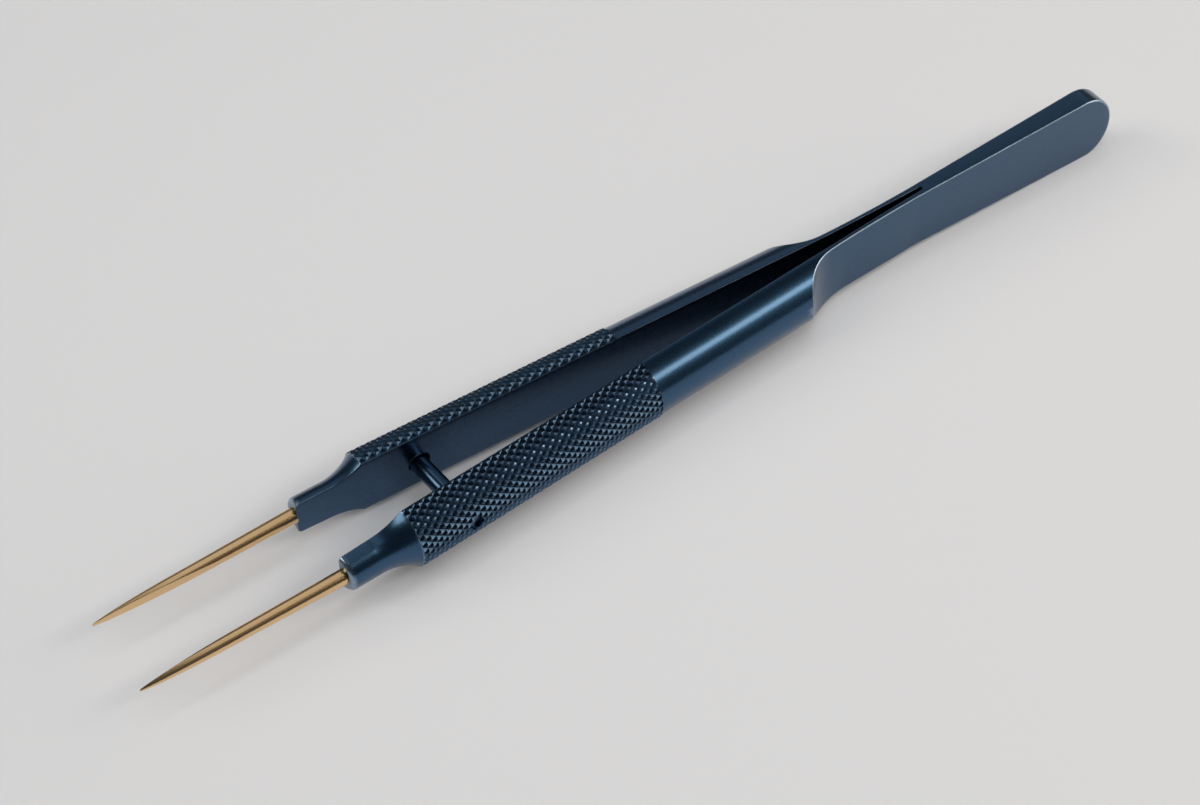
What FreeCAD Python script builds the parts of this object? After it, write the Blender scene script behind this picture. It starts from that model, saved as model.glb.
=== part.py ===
# Tying forceps of the microsurgical kind: a flat heel, two leaf-sprung arms with
# knurled half-round grips, slender tips with tying flats, and a guide pin.
# X runs along the length with the tips at +X, Y is the opening direction with
# the mirror plane at Y = 0, and Z is up with the instrument lying on its side.
import FreeCAD, Part
import math
import os

# Overall sizes, in millimetres
OVERALL_LENGTH = 115.0
HEEL_LENGTH = 25.06
SPLAY_DEG = 2.894

# Heel: the solid butt end behind the slot
HEEL_HALF_WIDTH = 4.12
HEEL_SLOT_HALF_THICKNESS = 0.77
HEEL_END_HALF_THICKNESS = 1.17
HEEL_UPPER_ROUND_LENGTH = 4.4
HEEL_LOWER_ROUND_LENGTH = 2.6
HEEL_APEX_DROP = 0.8
HEEL_EDGE_RADIUS = 0.15

# Slot and leaf springs
SLOT_HALF_GAP = 0.2
LEAF_OUTER_AT_SLOT = 0.75
LEAF_UPPER_AT_SCOOP = 0.385
LEAF_LOWER_AT_SCOOP = 0.79
LEAF_INNER_RUNOUT = 14.0
HINGE_ALONG_LEAF = 6.0
LEAF_SPLIT_GAP = 0.03

# Arm: scoop, smooth half-round, knurled grip and nose
SCOOP_UPPER_START = 12.15
SCOOP_UPPER_RADIUS = 5.8
SCOOP_LOWER_START = 9.8
SCOOP_LOWER_RADIUS = 10.3
SMOOTH_RADIUS = 3.33
KNURL_START = 35.66
KNURL_END = 63.0
KNURL_CREST_RADIUS = 3.44
KNURL_DEPTH = 0.24
KNURL_DIAMOND_LENGTH = 1.08
KNURL_DIAMOND_WIDTH = 0.76
NOSE_SHOULDER_RADIUS = 3.32
NOSE_ARC_RADIUS = 6.1
NOSE_NECK_AT = 66.8
NOSE_NECK_RADIUS = 2.1
NOSE_END = 69.75
NOSE_END_RADIUS = 2.02
NOSE_BEVEL = 0.25

# Tip rods
TIP_AXIS_ABOVE_FLAT = 0.6
TIP_INSET_DEG = 3.2
TIP_ROOT_RADIUS = 0.745
TIP_MID_RADIUS = 0.61
TIP_MID_FROM_END = 10.0
TIP_END_RADIUS = 0.17
TIP_END_ROUNDING = 0.11
TIP_FLAT_PAST_AXIS = 0.06
TIP_SPIGOT_DIAMETER = 0.9
TIP_SPIGOT_SHARE = 0.475
TIP_BORE_OVERRUN = 0.3
PRESS_FIT_CLEARANCE = 0.02
TYING_FLAT_CLEARANCE = 0.01

# Guide pin and its hole
PIN_ALONG_ARM = 57.0
PIN_DROP = 0.4
PIN_SHANK_DIAMETER = 1.83
PIN_SHANK_LENGTH = 6.14
PIN_END_ROUNDING = 0.35
PIN_SPIGOT_DIAMETER = 1.55
PIN_SPIGOT_RECESS = 0.5
PIN_HOLE_DIAMETER = 2.4
PIN_HOLE_SHIFT = 0.15
PIN_HOLE_CHAMFER = 0.18

# Places that follow from the sizes
SPLAY = math.radians(SPLAY_DEG)
TIP_END_X = OVERALL_LENGTH - HEEL_LENGTH
TIP_SPIGOT_LENGTH = (NOSE_END - PIN_ALONG_ARM) * TIP_SPIGOT_SHARE
MIDDLE_X = TIP_END_X - OVERALL_LENGTH / 2
WIDTH_TAPER = (HEEL_HALF_WIDTH - SMOOTH_RADIUS) / (SCOOP_UPPER_START + HEEL_LENGTH - HEEL_UPPER_ROUND_LENGTH)
X_AXIS = FreeCAD.Vector(1, 0, 0)
Y_AXIS = FreeCAD.Vector(0, 1, 0)
Z_AXIS = FreeCAD.Vector(0, 0, 1)
ORIGIN = FreeCAD.Vector(0, 0, 0)
REACH = 10.0


def vec(x, y, z=0.0):
    """Point in the slot frame, whose origin is the centre of the slot's end."""
    return FreeCAD.Vector(x, y, z)


def face_of(edges):
    """Planar face inside a closed run of edges."""
    return Part.Face(Part.Wire(Part.__sortEdges__(edges)))


def line(start, end):
    """Straight edge between two points."""
    return Part.LineSegment(start, end).toShape()


def arc(start, middle, end):
    """Circular edge through three points."""
    return Part.Arc(start, middle, end).toShape()


def half_width(x):
    """Half width in Z of the heel and the leaves at a distance from the slot's end."""
    return SMOOTH_RADIUS + (SCOOP_UPPER_START - x) * WIDTH_TAPER


def leaf_inner(u):
    """Height of the leaf's inner face above the arm's flat plane."""
    radius = (LEAF_INNER_RUNOUT ** 2 + SLOT_HALF_GAP ** 2) / (2 * SLOT_HALF_GAP)
    return radius - math.sqrt(radius ** 2 - (LEAF_INNER_RUNOUT - u) ** 2)


def leaf_outer(u, start, height):
    """Height of the leaf's outer face: an arc that lies flat where the scoop starts."""
    rise = LEAF_OUTER_AT_SLOT - height
    if abs(rise) < 0.0001:
        return height
    radius = (start ** 2 + rise ** 2) / (2 * abs(rise))
    sag = radius - math.sqrt(radius ** 2 - (start - u) ** 2)
    return height + math.copysign(sag, rise)


def splayed(shape, side=1):
    """Turn a shape from the arm's own frame to the rest place of the near (1) or far (-1) arm."""
    turned = shape.copy()
    turned.rotate(ORIGIN, Z_AXIS, SPLAY_DEG)
    if side < 0:
        turned = turned.mirror(ORIGIN, Y_AXIS)
    return turned


def block(x_low, x_high, y_low, y_high):
    """Tall block over a rectangle of the plan."""
    return Part.makeBox(x_high - x_low, y_high - y_low, 2 * REACH, vec(x_low, y_low, -REACH))


def half_round(edges):
    """Half-round solid: a profile in the flat plane, turned through 180 degrees to the back."""
    return face_of(edges).revolve(ORIGIN, vec(-1, 0, 0), 180)


def quarter_ellipse(center, across, up):
    """Quarter of an ellipse, between its side point and its end point."""
    major, minor = (up, across) if up.Length >= across.Length else (across, up)
    ellipse = Part.Ellipse(center + major, center + minor, center)
    return Part.ArcOfEllipse(ellipse, 0, math.pi / 2).toShape()


def width_body():
    """Outline of the heel and the leaves seen from the side, as a thick plate."""
    end_x = -HEEL_LENGTH
    upper_x = end_x + HEEL_UPPER_ROUND_LENGTH
    lower_x = end_x + HEEL_LOWER_ROUND_LENGTH
    front_x = SCOOP_UPPER_START
    upper = vec(upper_x, -REACH, half_width(upper_x))
    lower = vec(lower_x, -REACH, -half_width(upper_x))
    apex = vec(end_x, -REACH, -HEEL_APEX_DROP)
    front_upper = vec(front_x, -REACH, half_width(front_x))
    front_lower = vec(front_x, -REACH, -half_width(front_x))
    upper_center = vec(upper_x, -REACH, -HEEL_APEX_DROP)
    lower_center = vec(lower_x, -REACH, -HEEL_APEX_DROP)
    edges = [
        line(front_lower, front_upper),
        line(front_upper, upper),
        quarter_ellipse(upper_center, apex - upper_center, upper - upper_center),
        quarter_ellipse(lower_center, apex - lower_center, lower - lower_center),
        line(lower, front_lower),
    ]
    return face_of(edges).extrude(vec(0, 2 * REACH, 0))


def blank_profile(w, start, height, radius):
    """Plan outline of the leaf, scoop and smooth bar at one height w across the width."""
    back = -SLOT_HALF_GAP
    top = SMOOTH_RADIUS * 1.05
    scoop_end = start + math.sqrt(radius ** 2 - (radius + height - top) ** 2)
    half_angle = math.atan2(scoop_end - start, radius + height - top) / 2
    middle = back / 2 + start / 2
    inner_middle = back / 2 + LEAF_INNER_RUNOUT / 2
    scoop_middle = vec(start + radius * math.sin(half_angle), height + radius * (1 - math.cos(half_angle)), w)
    edges = [
        arc(vec(back, leaf_inner(back), w), vec(inner_middle, leaf_inner(inner_middle), w),
            vec(LEAF_INNER_RUNOUT, 0, w)),
        line(vec(LEAF_INNER_RUNOUT, 0, w), vec(KNURL_START, 0, w)),
        line(vec(KNURL_START, 0, w), vec(KNURL_START, top, w)),
        line(vec(KNURL_START, top, w), vec(scoop_end, top, w)),
        arc(vec(scoop_end, top, w), scoop_middle, vec(start, height, w)),
        arc(vec(start, height, w), vec(middle, leaf_outer(middle, start, height), w),
            vec(back, leaf_outer(back, start, height), w)),
        line(vec(back, leaf_outer(back, start, height), w), vec(back, leaf_inner(back), w)),
    ]
    return Part.Wire(edges)


def arm_blank():
    """Leaf, scoop and smooth bar before their sides are cut: ruled from the lower to the upper outline."""
    lower = blank_profile(-HEEL_HALF_WIDTH, SCOOP_LOWER_START, LEAF_LOWER_AT_SCOOP, SCOOP_LOWER_RADIUS)
    upper = blank_profile(HEEL_HALF_WIDTH, SCOOP_UPPER_START, LEAF_UPPER_AT_SCOOP, SCOOP_UPPER_RADIUS)
    return Part.makeLoft([lower, upper], True, True)


def make_heel(width_plate):
    """Butt end with the slot's round end and the rear half of both leaves."""
    taper = (HEEL_END_HALF_THICKNESS - HEEL_SLOT_HALF_THICKNESS) / HEEL_LENGTH
    back_x = -HEEL_LENGTH - 1.0
    back_y = HEEL_SLOT_HALF_THICKNESS - back_x * taper
    front_y = HEEL_SLOT_HALF_THICKNESS - SLOT_HALF_GAP * taper
    corners = [vec(back_x, -back_y), vec(SLOT_HALF_GAP, -front_y), vec(SLOT_HALF_GAP, front_y),
               vec(back_x, back_y), vec(back_x, -back_y)]
    plan = Part.Face(Part.makePolygon(corners))
    plan.translate(vec(0, 0, -REACH))
    body = plan.extrude(vec(0, 0, 2 * REACH)).common(width_plate)
    outline = []
    for edge in body.Edges:
        start, end = edge.Vertexes[0].Point, edge.Vertexes[-1].Point
        if start.y * end.y > 0 and min(start.x, end.x) < 0:
            outline.append(edge)
    body = body.makeFillet(HEEL_EDGE_RADIUS, outline)
    cut_x = HINGE_ALONG_LEAF - LEAF_SPLIT_GAP / 2
    rear = block(-1.0, cut_x, -REACH, REACH)
    for side in (1, -1):
        stub = splayed(arm_blank(), side).common(rear).common(width_plate)
        body = body.fuse(stub)
    slot_end = Part.makeCylinder(SLOT_HALF_GAP, 2 * REACH, vec(SLOT_HALF_GAP, 0, -REACH))
    return body.cut(slot_end).removeSplitter()


def smooth_section():
    """Leaf, scooped shoulder and smooth half-round part of one arm, in the arm's own frame."""
    cone = Part.makeCone(half_width(0), SMOOTH_RADIUS, SCOOP_UPPER_START, ORIGIN, X_AXIS)
    bar = Part.makeCylinder(SMOOTH_RADIUS, KNURL_START - SCOOP_UPPER_START, vec(SCOOP_UPPER_START, 0), X_AXIS)
    return arm_blank().common(cone.fuse(bar))


def knurled_grip():
    """Diamond knurl over the half-round as one closed solid; its edges at the flat are straight, at groove depth."""
    length = KNURL_END - KNURL_START
    rows = max(2, round(2 * length / KNURL_DIAMOND_LENGTH))
    columns = max(2, round(2 * math.pi * KNURL_CREST_RADIUS / KNURL_DIAMOND_WIDTH))
    grid = []
    for i in range(rows + 1):
        row = []
        for j in range(columns + 1):
            angle = math.pi * j / columns
            at_flat = j in (0, columns)
            radius = KNURL_CREST_RADIUS - (KNURL_DEPTH if at_flat or (i + j) % 2 == 0 else 0.0)
            height = 0.0 if at_flat else radius * math.sin(angle)
            row.append(vec(KNURL_START + length * i / rows, height, radius * math.cos(angle)))
        grid.append(row)
    loops = []
    for i in range(rows):
        for j in range(columns):
            a, b = grid[i][j], grid[i + 1][j]
            c, d = grid[i + 1][j + 1], grid[i][j + 1]
            if (i + j) % 2 == 0:
                loops += [[a, b, c], [a, c, d]]
            else:
                loops += [[a, b, d], [b, c, d]]
    loops.append(grid[0])
    loops.append(grid[rows])
    loops.append([row[0] for row in grid] + [row[columns] for row in reversed(grid)])
    faces = [Part.Face(Part.makePolygon(loop + [loop[0]])) for loop in loops]
    return Part.makeSolid(Part.makeShell(faces))


def nose():
    """Tapered nose of one arm in the arm's own frame, with a bevelled end face."""
    chord = vec(NOSE_NECK_AT - KNURL_END, 0, NOSE_NECK_RADIUS - NOSE_SHOULDER_RADIUS)
    sag = NOSE_ARC_RADIUS - math.sqrt(NOSE_ARC_RADIUS ** 2 - (chord.Length / 2) ** 2)
    inward = vec(chord.z, 0, -chord.x).normalize()
    shoulder = vec(KNURL_END, 0, NOSE_SHOULDER_RADIUS)
    neck = vec(NOSE_NECK_AT, 0, NOSE_NECK_RADIUS)
    bevel_back = vec(NOSE_END - NOSE_BEVEL, 0, NOSE_END_RADIUS)
    bevel_front = vec(NOSE_END, 0, NOSE_END_RADIUS - NOSE_BEVEL)
    edges = [
        line(vec(KNURL_END, 0), shoulder),
        arc(shoulder, shoulder + chord * 0.5 + inward * sag, neck),
        line(neck, bevel_back),
        line(bevel_back, bevel_front),
        line(bevel_front, vec(NOSE_END, 0)),
        line(vec(NOSE_END, 0), vec(KNURL_END, 0)),
    ]
    return half_round(edges)


def tip_placement():
    """Place of a tip rod's own frame (axis along X, zero at the nose) in the arm's frame."""
    turn = FreeCAD.Rotation(Z_AXIS, -TIP_INSET_DEG)
    return FreeCAD.Placement(vec(NOSE_END, TIP_AXIS_ABOVE_FLAT), turn)


def tip_length():
    """Length of a tip rod from the nose face, which makes the overall length."""
    root_x = NOSE_END * math.cos(SPLAY) - TIP_AXIS_ABOVE_FLAT * math.sin(SPLAY)
    return (TIP_END_X - root_x) / math.cos(SPLAY - math.radians(TIP_INSET_DEG))


def tip_bore():
    """Blind hole in the nose for a tip rod's spigot, in the arm's own frame."""
    radius = TIP_SPIGOT_DIAMETER / 2 + PRESS_FIT_CLEARANCE
    depth = TIP_SPIGOT_LENGTH + TIP_BORE_OVERRUN
    bore = Part.makeCylinder(radius, depth + 1.0, vec(-depth, 0), X_AXIS)
    bore.Placement = tip_placement()
    return bore


def make_arm(side):
    """One arm at rest: the front half of its leaf, the shoulder, the grip and the nose."""
    cut_x = HINGE_ALONG_LEAF + LEAF_SPLIT_GAP / 2
    front = block(cut_x, TIP_END_X, -REACH, REACH)
    bar = smooth_section().fuse([knurled_grip(), nose()])
    pin_at = vec(PIN_ALONG_ARM, 0, -PIN_DROP)
    if side > 0:
        hole = Part.makeCylinder(PIN_SPIGOT_DIAMETER / 2 + PRESS_FIT_CLEARANCE, REACH, pin_at, Y_AXIS)
    else:
        pin_at = pin_at + vec(PIN_HOLE_SHIFT, 0)
        radius = PIN_HOLE_DIAMETER / 2
        hole = Part.makeCylinder(radius, REACH, pin_at, Y_AXIS)
        flare = Part.makeCone(radius + 2 * PIN_HOLE_CHAMFER, radius, 2 * PIN_HOLE_CHAMFER,
                              pin_at - Y_AXIS * PIN_HOLE_CHAMFER, Y_AXIS)
        hole = hole.fuse(flare)
    return splayed(bar.cut(hole).cut(tip_bore()), side).common(front)


def tying_flat_cutter(side):
    """Everything beyond the tying flat of one tip, at rest; closed, both flats lie at Y = 0."""
    outer = (leaf_outer(HINGE_ALONG_LEAF, SCOOP_UPPER_START, LEAF_UPPER_AT_SCOOP)
             + leaf_outer(HINGE_ALONG_LEAF, SCOOP_LOWER_START, LEAF_LOWER_AT_SCOOP)) / 2
    hinge_v = (leaf_inner(HINGE_ALONG_LEAF) + outer) / 2
    hinge_y = HINGE_ALONG_LEAF * math.sin(SPLAY) + hinge_v * math.cos(SPLAY)
    root_y = NOSE_END * math.sin(SPLAY) + TIP_AXIS_ABOVE_FLAT * math.cos(SPLAY)
    end_y = root_y + tip_length() * math.sin(SPLAY - math.radians(TIP_INSET_DEG)) + TIP_FLAT_PAST_AXIS
    along = TIP_END_X - HINGE_ALONG_LEAF
    across = end_y - hinge_y
    closing = math.atan2(across, along) + math.asin((hinge_y - TYING_FLAT_CLEARANCE)
                                                    / math.hypot(along, across))
    cutter = Part.makeBox(2 * NOSE_END, REACH, 2 * REACH, vec(-NOSE_END, -REACH, -REACH))
    cutter.rotate(ORIGIN, Z_AXIS, math.degrees(closing))
    cutter.translate(vec(TIP_END_X, end_y))
    if side < 0:
        cutter = cutter.mirror(ORIGIN, Y_AXIS)
    return cutter, math.degrees(closing), hinge_y


def make_tip(side):
    """Slender tip rod with its spigot, tapered back, blunt end and tying flat."""
    length = tip_length()
    root = vec(-0.5, 0, TIP_ROOT_RADIUS)
    middle = vec(length - TIP_MID_FROM_END, 0, TIP_MID_RADIUS)
    rounded = vec(length - TIP_END_ROUNDING, 0, TIP_END_RADIUS)
    blunt = vec(length, 0, TIP_END_RADIUS - TIP_END_ROUNDING)
    inset = TIP_END_ROUNDING * (1 - math.cos(math.radians(45)))
    corner = vec(length - inset, 0, TIP_END_RADIUS - inset)
    back = Part.BezierCurve()
    back.setPoles([middle, middle + vec(0.6 * TIP_MID_FROM_END, 0, -0.04 * TIP_MID_RADIUS),
                   rounded + vec(-0.107 * TIP_MID_FROM_END, 0, 0.31 * TIP_MID_RADIUS), rounded])
    edges = [
        line(vec(-0.5, 0), root),
        line(root, middle),
        back.toShape(),
        arc(rounded, corner, blunt),
        line(blunt, vec(length, 0)),
        line(vec(length, 0), vec(-0.5, 0)),
    ]
    rod = face_of(edges).revolve(ORIGIN, X_AXIS, 360)
    rod.Placement = tip_placement()
    rod = rod.cut(block(NOSE_END - REACH, NOSE_END, -REACH, REACH))
    spigot = Part.makeCylinder(TIP_SPIGOT_DIAMETER / 2, TIP_SPIGOT_LENGTH + 0.5,
                               vec(-TIP_SPIGOT_LENGTH, 0), X_AXIS)
    spigot.Placement = tip_placement()
    tip = splayed(rod.fuse(spigot), side)
    return tip.cut(tying_flat_cutter(side)[0]).removeSplitter()


def make_guide_pin():
    """Stepped guide pin: spigot in the near arm, shank across the gap, rounded free end."""
    pin_at = vec(PIN_ALONG_ARM, 0, -PIN_DROP)
    shank = Part.makeCylinder(PIN_SHANK_DIAMETER / 2, PIN_SHANK_LENGTH, pin_at, Y_AXIS * -1)
    free_end = [edge for edge in shank.Edges
                if abs(edge.BoundBox.YMax + PIN_SHANK_LENGTH) < 0.01 and len(edge.Vertexes) == 1]
    shank = shank.makeFillet(PIN_END_ROUNDING, free_end)
    surface = math.sqrt(KNURL_CREST_RADIUS ** 2 - PIN_DROP ** 2)
    spigot = Part.makeCylinder(PIN_SPIGOT_DIAMETER / 2, surface - PIN_SPIGOT_RECESS, pin_at, Y_AXIS)
    return splayed(shank.fuse(spigot))


def main():
    """Build every piece at its rest place and write one file for each."""
    width_plate = width_body()
    pieces = {
        "heel": make_heel(width_plate),
        "near_arm": make_arm(1),
        "far_arm": make_arm(-1),
        "near_tip": make_tip(1),
        "far_tip": make_tip(-1),
        "guide_pin": make_guide_pin(),
    }
    os.makedirs("parts", exist_ok=True)
    for name, piece in pieces.items():
        solid = piece.Solids[0] if len(piece.Solids) == 1 else piece
        solid.translate(vec(-MIDDLE_X, 0, HEEL_HALF_WIDTH))
        solid.exportStep("parts/" + name + ".step")
        box = solid.optimalBoundingBox()
        print(name, solid.ShapeType, solid.isValid(), "volume", round(solid.Volume, 3),
              "x", round(box.XMin, 3), round(box.XMax, 3), "y", round(box.YMin, 3), round(box.YMax, 3),
              "z", round(box.ZMin, 3), round(box.ZMax, 3))
    closing, hinge_y = tying_flat_cutter(1)[1:]
    print("hinge at x", round(HINGE_ALONG_LEAF - MIDDLE_X, 4), "y", round(hinge_y, 4),
          "closes by", round(closing, 4), "tip length", round(tip_length(), 3))


main()
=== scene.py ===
"""Tying forceps with knurled half-round grips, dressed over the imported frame.

The instrument lies on its side: X runs to the tips, Y is the opening direction
with the near arm at +Y, and Z is up. All sizes are in millimetres in the slot
frame, whose origin is the middle of the slot's end, and are moved to the row
frame in metres when a mesh is made. Along runs with an arm, out is the height
over its flat plane, and across is straight up from the arm's middle.
"""
import logging
import math
from dataclasses import dataclass
from enum import Enum
from typing import ClassVar

import bpy
import numpy as np
from mathutils import Matrix, Vector

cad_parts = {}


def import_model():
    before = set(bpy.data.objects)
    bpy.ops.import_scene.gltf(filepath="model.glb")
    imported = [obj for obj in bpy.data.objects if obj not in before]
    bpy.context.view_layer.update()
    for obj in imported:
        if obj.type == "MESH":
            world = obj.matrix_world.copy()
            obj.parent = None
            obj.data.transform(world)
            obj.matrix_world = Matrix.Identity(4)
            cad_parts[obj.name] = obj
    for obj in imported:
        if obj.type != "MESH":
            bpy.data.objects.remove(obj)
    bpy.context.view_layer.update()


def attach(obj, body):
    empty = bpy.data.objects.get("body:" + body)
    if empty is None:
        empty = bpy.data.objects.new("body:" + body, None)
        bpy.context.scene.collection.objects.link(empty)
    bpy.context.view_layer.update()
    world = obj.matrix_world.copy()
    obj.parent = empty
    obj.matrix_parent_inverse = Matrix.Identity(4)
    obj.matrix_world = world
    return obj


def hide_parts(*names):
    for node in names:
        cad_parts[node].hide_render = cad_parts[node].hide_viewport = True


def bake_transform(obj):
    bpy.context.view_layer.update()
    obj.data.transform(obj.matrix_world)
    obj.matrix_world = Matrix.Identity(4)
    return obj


log = logging.getLogger("tying_forceps")

Array = np.ndarray
Number = Array | float
Place = tuple[float, float, float]
Piece = bpy.types.Object
Node = bpy.types.Node
Socket = bpy.types.NodeSocket
Tree = bpy.types.NodeTree


class Side(Enum):
    """Which arm a piece belongs to, with the sign of its Y side."""

    NEAR = 1
    FAR = -1

    @property
    def label(self) -> str:
        """Word that starts the names of this side's pieces."""
        return self.name.lower()

    @property
    def body(self) -> str:
        """Name of the moving body of this side."""
        return f"{self.label}_side"


def smooth_step(x: Number, low: float, high: float) -> Array:
    """Cubic ramp from 0 at low to 1 at high."""
    t = np.clip((np.asarray(x, float) - low) / (high - low), 0.0, 1.0)
    return t * t * (3 - 2 * t)


def between(start: Array, end: Array, share: Array) -> Array:
    """Values on the straight way from start to end, at each share of it."""
    return start * (1 - share) + end * share


def on_circle(angle: Array) -> Array:
    """Points on the unit circle: cosine and sine of each angle on a new last axis."""
    return np.stack([np.cos(angle), np.sin(angle)], axis=-1)


def full_turn(count: int) -> Array:
    """Evenly spread angles round a full turn."""
    return np.linspace(0.0, 2 * math.pi, count + 1)[:-1]


def corner_curve(before: Array, corner: Array, after: Array, count: int) -> Array:
    """Inner points of a rounded corner, on the parabola that leaves along the corner's two sides.

    Args:
        before: Points where the rounding starts, any shape ending in 2 or 3.
        corner: The sharp corners, same shape.
        after: Points where the rounding ends, same shape.
        count: Number of points between before and after.

    Returns:
        Array with a new axis of count before the last one.
    """
    t = np.linspace(0.0, 1.0, count + 2)[1:-1, None]
    before, corner, after = before[..., None, :], corner[..., None, :], after[..., None, :]
    return (1 - t) ** 2 * before + 2 * t * (1 - t) * corner + t ** 2 * after


@dataclass(frozen=True)
class Placing:
    """Where the slot frame sits in the row frame, and how far the arms splay."""

    overall: float = 115.0
    heel_length: float = 25.06
    lift: float = 4.12
    splay_deg: float = 2.894

    @property
    def tip_end(self) -> float:
        """X of the tips' ends in the slot frame."""
        return self.overall - self.heel_length

    @property
    def middle(self) -> float:
        """X of the row frame's origin in the slot frame."""
        return self.tip_end - self.overall / 2

    @property
    def splay(self) -> float:
        """Splay of one arm from the mirror plane, in radians."""
        return math.radians(self.splay_deg)

    def to_row(self, points: Array, side: Side = Side.NEAR) -> Array:
        """Slot-frame millimetres to row-frame metres, mirrored for the far arm; the last axis is x, y, z."""
        moved = points * np.array([1.0, side.value, 1.0]) + np.array([-self.middle, 0.0, self.lift])
        return moved * 0.001

    def arm_to_slot(self, along: Number, out: Number, across: Number,
                    turn: Array | None = None) -> Array:
        """Arm coordinates to the slot frame.

        A point is the place on the flat plane at distance along, plus out along
        the section's normal, with across straight up.

        Args:
            along: Distance along the arm from the slot's end.
            out: Distance outwards from the flat plane.
            across: Height over the arm's middle.
            turn: Angle of the section's normal from Y, the splay unless given.

        Returns:
            Array with a last axis of x, y, z.
        """
        angle = self.splay if turn is None else turn
        x = along * math.cos(self.splay) - out * np.sin(angle)
        y = along * math.sin(self.splay) + out * np.cos(angle)
        return np.stack(np.broadcast_arrays(x, y, across), axis=-1)

    def rings(self, along: Number, across: Number, out: Array, radius: Array, height: Array) -> Array:
        """Ellipses at each height out, round an axis along the arm's normal.

        Their middles lie at along and across, and their half widths are radius
        along the arm and height across it.
        """
        angle = full_turn(64)[None, :]
        return self.arm_to_slot(along + radius[:, None] * np.sin(angle), out[:, None],
                                across + height[:, None] * np.cos(angle))


PLACING = Placing()


def make_object(name: str, points: Array, faces: list[list[int]], wear_and_painted_light: Array,
                sharp_deg: float) -> Piece:
    """Put points and faces into a new smooth-shaded object with sharp creases.

    Args:
        name: Name of the piece.
        points: Points in the row frame, in metres.
        faces: Corner numbers of each face.
        wear_and_painted_light: How pale each point is painted, up to about 1, for scuffing and painted
            highlight, or how dark, down to -1, for painted shade in grooves and recesses, kept as an
            attribute.
        sharp_deg: Edges that fold by more than this stay sharp.

    Returns:
        The new object, at the origin.
    """
    mesh = bpy.data.meshes.new(name)
    mesh.from_pydata(points, [], faces)
    mesh.polygons.foreach_set("use_smooth", np.ones(len(mesh.polygons), bool))
    mesh.attributes.new("wear_and_painted_light", "FLOAT", "POINT").data.foreach_set("value", wear_and_painted_light.astype(np.float32))
    mesh.update()
    piece = bpy.data.objects.new(name, mesh)
    bpy.context.scene.collection.objects.link(piece)
    mesh.set_sharp_from_angle(angle=math.radians(sharp_deg))
    return piece


def loft(name: str, loops: Array, side: Side = Side.NEAR, wear_and_painted_light: Array | None = None,
         diagonal: Array | None = None, sharp_deg: float = 35.0) -> Piece:
    """Closed solid through a row of closed loops, with a fan over each end.

    The faces are turned so that the enclosed volume, the sum of the signed
    volumes of the triangles with the origin, is positive.

    Args:
        name: Name of the piece.
        loops: Array of shape stations, loop points, 3 in slot millimetres.
        side: Arm that the piece belongs to; the far one is mirrored.
        wear_and_painted_light: Paleness of every loop point for scuffing and painted highlight, negative for
            painted shade, none unless given.
        diagonal: Where given, splits each quad: 1 along its first diagonal, 0
            along its second one, and -1 leaves it whole.
        sharp_deg: Edges that fold by more than this stay sharp.

    Returns:
        The new object.
    """
    stations, count = loops.shape[:2]
    index = np.arange(stations * count).reshape(stations, count)
    following = np.roll(index, -1, axis=1)
    quads = np.stack([index[:-1], index[1:], following[1:], following[:-1]], axis=-1)
    split = np.full(quads.shape[:2], -1) if diagonal is None else diagonal
    whole, one, two = quads[split < 0], quads[split == 1], quads[split == 0]
    first, last = stations * count, stations * count + 1
    triangles = np.concatenate([
        one[:, [0, 1, 2]], one[:, [0, 2, 3]], two[:, [0, 1, 3]], two[:, [1, 2, 3]],
        np.stack([np.full(count, first), index[0], following[0]], axis=-1),
        np.stack([np.full(count, last), following[-1], index[-1]], axis=-1),
    ])
    centres = np.stack([loops[0].mean(axis=0), loops[-1].mean(axis=0)])
    points = PLACING.to_row(np.concatenate([loops.reshape(-1, 3), centres]), side)
    corners = points[np.concatenate([whole[:, [0, 1, 2]], whole[:, [0, 2, 3]], triangles])]
    volume = np.einsum("ij,ij->i", corners[:, 0], np.cross(corners[:, 1], corners[:, 2])).sum()
    if volume < 0:
        whole, triangles = whole[:, ::-1], triangles[:, ::-1]
    light_and_wear_values = np.zeros(loops.shape[:2]) if wear_and_painted_light is None else wear_and_painted_light
    faces = whole.tolist() + triangles.tolist()
    return make_object(name, points, faces, np.append(light_and_wear_values.ravel(), [0.0, 0.0]), sharp_deg)


def cut_away(piece: Piece, cutter: Piece, sharp_deg: float) -> None:
    """Cut one closed piece from another and drop the cutter.

    Args:
        piece: The piece that keeps its name.
        cutter: Closed solid to take away, deleted afterwards.
        sharp_deg: Edges that fold by more than this stay sharp.
    """
    modifier = piece.modifiers.new("hole", "BOOLEAN")
    modifier.operation = "DIFFERENCE"
    modifier.solver = "EXACT"
    modifier.object = cutter
    bpy.context.view_layer.update()
    cut = bpy.data.meshes.new_from_object(piece.evaluated_get(bpy.context.evaluated_depsgraph_get()))
    piece.modifiers.clear()
    old = piece.data
    piece.data = cut
    cut.name = old.name
    bpy.data.meshes.remove(old)
    bpy.data.objects.remove(cutter)
    piece.data.set_sharp_from_angle(angle=math.radians(sharp_deg))


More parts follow.
